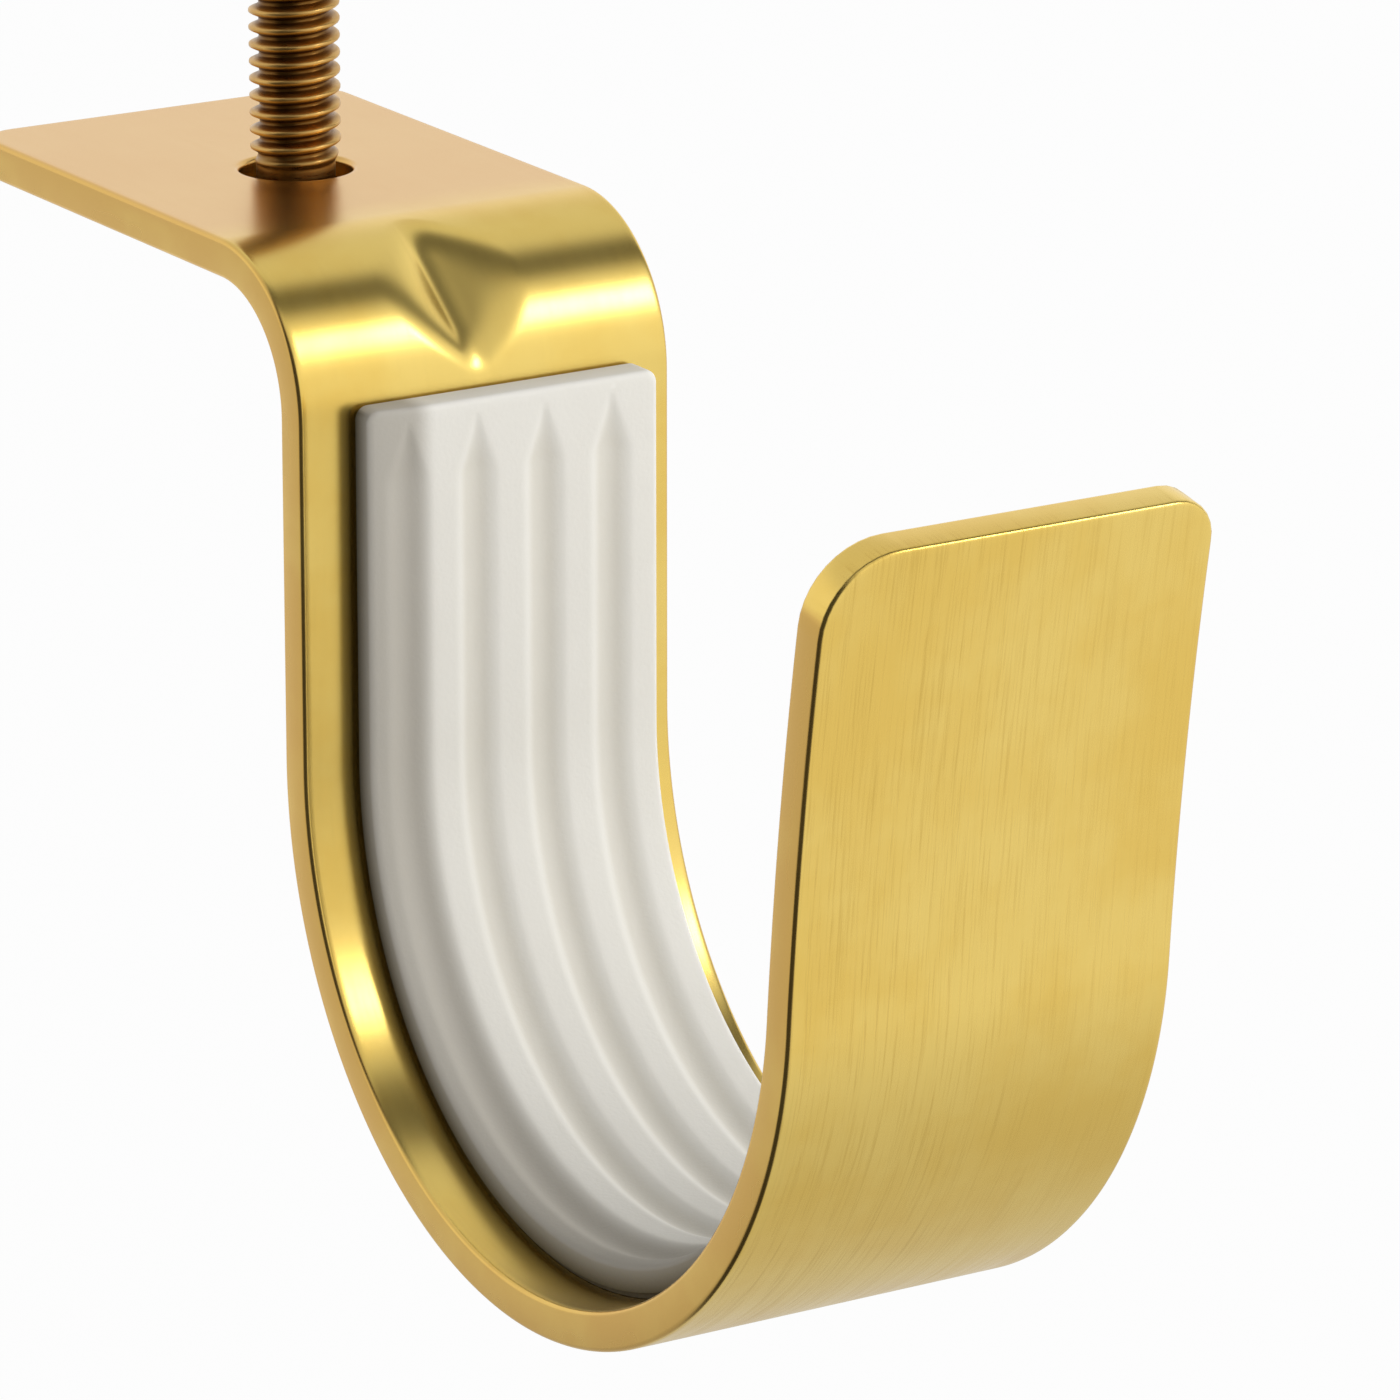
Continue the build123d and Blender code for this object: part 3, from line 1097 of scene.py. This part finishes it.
class BRACKET_OT_screw(bpy.types.Operator):
    """Makes the hanging screw with its thread and its slotted head"""

    bl_idname = "bracket.screw"
    bl_label = "Screw"

    def execute(self, context):
        settings = context.scene.bracket
        sizes = settings.screw
        low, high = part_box("hanging_screw")
        head_radius = (high.x - low.x) / 2
        bearing = -settings.strap.thickness
        outside = sizes.outside_radius
        material = screw_brass(settings.finish, outside - sizes.thread_depth, outside)
        shank = {
            "Pitch": sizes.pitch,
            "Depth": sizes.thread_depth,
            "Outside radius": outside,
            "Neck": sizes.neck + SHANK_OVERLAP,
            "Start": bearing - SHANK_OVERLAP,
            "Length": high.z - bearing + SHANK_OVERLAP,
        }
        rows = THREAD_ROWS_PER_PITCH * round(shank["Length"] / sizes.pitch)
        obj = linked("threaded_screw", bpy.data.meshes.new("threaded_screw"))
        thread_tree(shank, THREAD_AROUND, rows, material).run_on(obj)
        join(obj, screw_head(sizes, head_radius, bearing))
        finished(obj, material, "hanging_screw")
        return {"FINISHED"}


def area_lamp(name, target, offset, size, power):
    """Rectangular lamp at this offset from target, facing it"""
    data = bpy.data.lights.new(name, "AREA")
    data.shape = "RECTANGLE"
    data.size, data.size_y = size
    data.energy = power
    lamp = linked(name, data)
    lamp.location = Vector(target) + Vector(offset)
    lamp.rotation_euler = (-Vector(offset)).to_track_quat("-Z", "Y").to_euler()
    return lamp


def ray_kinds(nodes):
    """Whether a ray comes from the camera, and whether it comes off metal or through glass"""
    rays = nodes.add("ShaderNodeLightPath").outputs
    mirror_ray = nodes.amount(rays["Is Glossy Ray"]).most(nodes.amount(rays["Is Transmission Ray"]))
    return nodes.amount(rays["Is Camera Ray"]), mirror_ray


def card_shade(x, y, distance, stage):
    """Brightness that metal shows this way: dark towards the card on the front left"""
    return ((x * CARD_X + y * CARD_Y) / distance).eased(0.6, 0.85, 1.0, stage.card)


def studio_world(stage):
    """White to the camera. Metal shows it with a dim ceiling, a dark strip overhead and a dark card"""
    world = bpy.data.worlds.new("studio")
    world.use_nodes = True
    bpy.context.scene.world = world
    nodes = Nodes(world.node_tree)
    x, y, height = nodes.xyz(nodes.add("ShaderNodeTexCoord").outputs["Generated"])
    camera_ray, mirror_ray = ray_kinds(nodes)
    forward = y * -1 / height.most(0.3)
    strip = forward.eased(-0.1, 0.12) * forward.eased(0.36, 0.56, 1.0, 0.0)
    ceiling = height.eased(0.4, 0.7, 1.0, stage.zenith) * (1 - strip * (1 - stage.gap))
    card = card_shade(x, y, 1, stage)
    from_left = (x * -1).eased(-0.3, 0.6, 1.0, 1 - stage.left_dim)
    lit = (1.5 - y * 0.85 - height * 1.25).most(0) * from_left * stage.ambient
    strength = camera_ray.between(mirror_ray.between(lit, ceiling * card), 1)
    background = nodes.add("ShaderNodeBackground", {}, {"Color": (1, 1, 1, 1), "Strength": strength})
    nodes.add("ShaderNodeOutputWorld", {}, {"Surface": background.outputs[0]})


def pale_floor(stage):
    """Floor that keeps the shadow faintly and is white to the camera. To metal it shows the dark card and a
    painted shadow round the hook
    """
    material = bpy.data.materials.new("pale floor")
    material.use_nodes = True
    nodes = Nodes(material.node_tree)
    place = nodes.add("ShaderNodeTexCoord").outputs["Object"]
    grain = nodes.noise(place, 30.0, 4.0)
    paler = [channel * 1.03 for channel in stage.floor]
    tone = nodes.mixed(grain, rgba(stage.floor), rgba(paler))
    matt = nodes.add("ShaderNodeBsdfDiffuse", {}, {"Color": tone})
    x, y, _ = nodes.xyz(place)
    camera_ray, mirror_ray = ray_kinds(nodes)
    y = y + HOOK_BACK
    from_hook = (x * x + y * y).power(0.5)
    # Painted shadow: metal sees the floor darker round the hook.
    near = from_hook.eased(0.03, 0.16, 0.65, 0.92)
    card = card_shade(x, y, from_hook, stage)
    left = (x * -1 / from_hook).eased(0.2, 0.6, 1.0, 0.8)
    shown = camera_ray.between(near * card * left, 1)
    white = nodes.add("ShaderNodeEmission", {}, {"Color": (1, 1, 1, 1), "Strength": shown})
    both = nodes.add(
        "ShaderNodeMixShader",
        {},
        {0: camera_ray.most(mirror_ray) * stage.floor_white, 1: matt.outputs[0], 2: white.outputs[0]},
    )
    nodes.add("ShaderNodeOutputMaterial", {}, {"Surface": both.outputs[0]})
    return material


class BRACKET_OT_stage(bpy.types.Operator):
    """Makes the floor, the lamps, the surroundings and the camera"""

    bl_idname = "bracket.stage"
    bl_label = "Stage"

    def execute(self, context):
        stage = context.scene.bracket.stage
        low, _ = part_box("hook_strap")
        half = stage.floor_size / 2
        height = low.z - stage.floor_drop
        mesh = bpy.data.meshes.new("floor")
        corners = ((-half, -half), (half, -half), (half, half), (-half, half))
        mesh.from_pydata([(*corner, height) for corner in corners], [], [(0, 1, 2, 3)])
        floor = linked("floor", mesh)
        mesh.materials.append(pale_floor(stage))

        area_lamp("key lamp", stage.target, stage.key_place, stage.key_size, stage.key_power)
        side = area_lamp("side lamp", stage.target, stage.side_place, stage.side_size, stage.side_power)
        side.visible_glossy = False
        studio_world(stage)

        data = bpy.data.cameras.new("camera")
        data.lens = stage.lens
        data.clip_start = 0.01
        camera = linked("camera", data)
        camera.location = stage.camera_place
        level = math.cos(stage.elevation)
        ahead = Vector((-math.sin(stage.azimuth) * level, math.cos(stage.azimuth) * level, 0))
        ahead.z = -math.sin(stage.elevation)
        camera.rotation_euler = ahead.to_track_quat("-Z", "Y").to_euler()
        context.scene.camera = camera
        context.scene.view_settings.view_transform = "Standard"
        return {"FINISHED"}


OPERATORS = (BRACKET_OT_strap, BRACKET_OT_pad, BRACKET_OT_film, BRACKET_OT_screw, BRACKET_OT_stage)


class BRACKET_PT_panel(bpy.types.Panel):
    """Lists the bracket's pieces"""

    bl_idname = "BRACKET_PT_panel"
    bl_label = "Rod bracket"
    bl_space_type = "VIEW_3D"
    bl_region_type = "UI"
    bl_category = "Rod Bracket"

    def draw(self, context):
        for operator in OPERATORS:
            self.layout.operator(operator.bl_idname)


CLASSES = (
    StrapSizes, PadSizes, ScrewSizes, Finishes, StageSettings, BracketSettings, *OPERATORS, BRACKET_PT_panel
)


def register():
    for made in CLASSES:
        bpy.utils.register_class(made)
    bpy.types.Scene.bracket = bpy.props.PointerProperty(type=BracketSettings)


def unregister():
    del bpy.types.Scene.bracket
    for made in reversed(CLASSES):
        bpy.utils.unregister_class(made)


def main():
    register()
    bpy.ops.bracket.strap()
    bpy.ops.bracket.pad()
    bpy.ops.bracket.film()
    bpy.ops.bracket.screw()
    bpy.ops.bracket.stage()


if __name__ == "__main__":
    main()
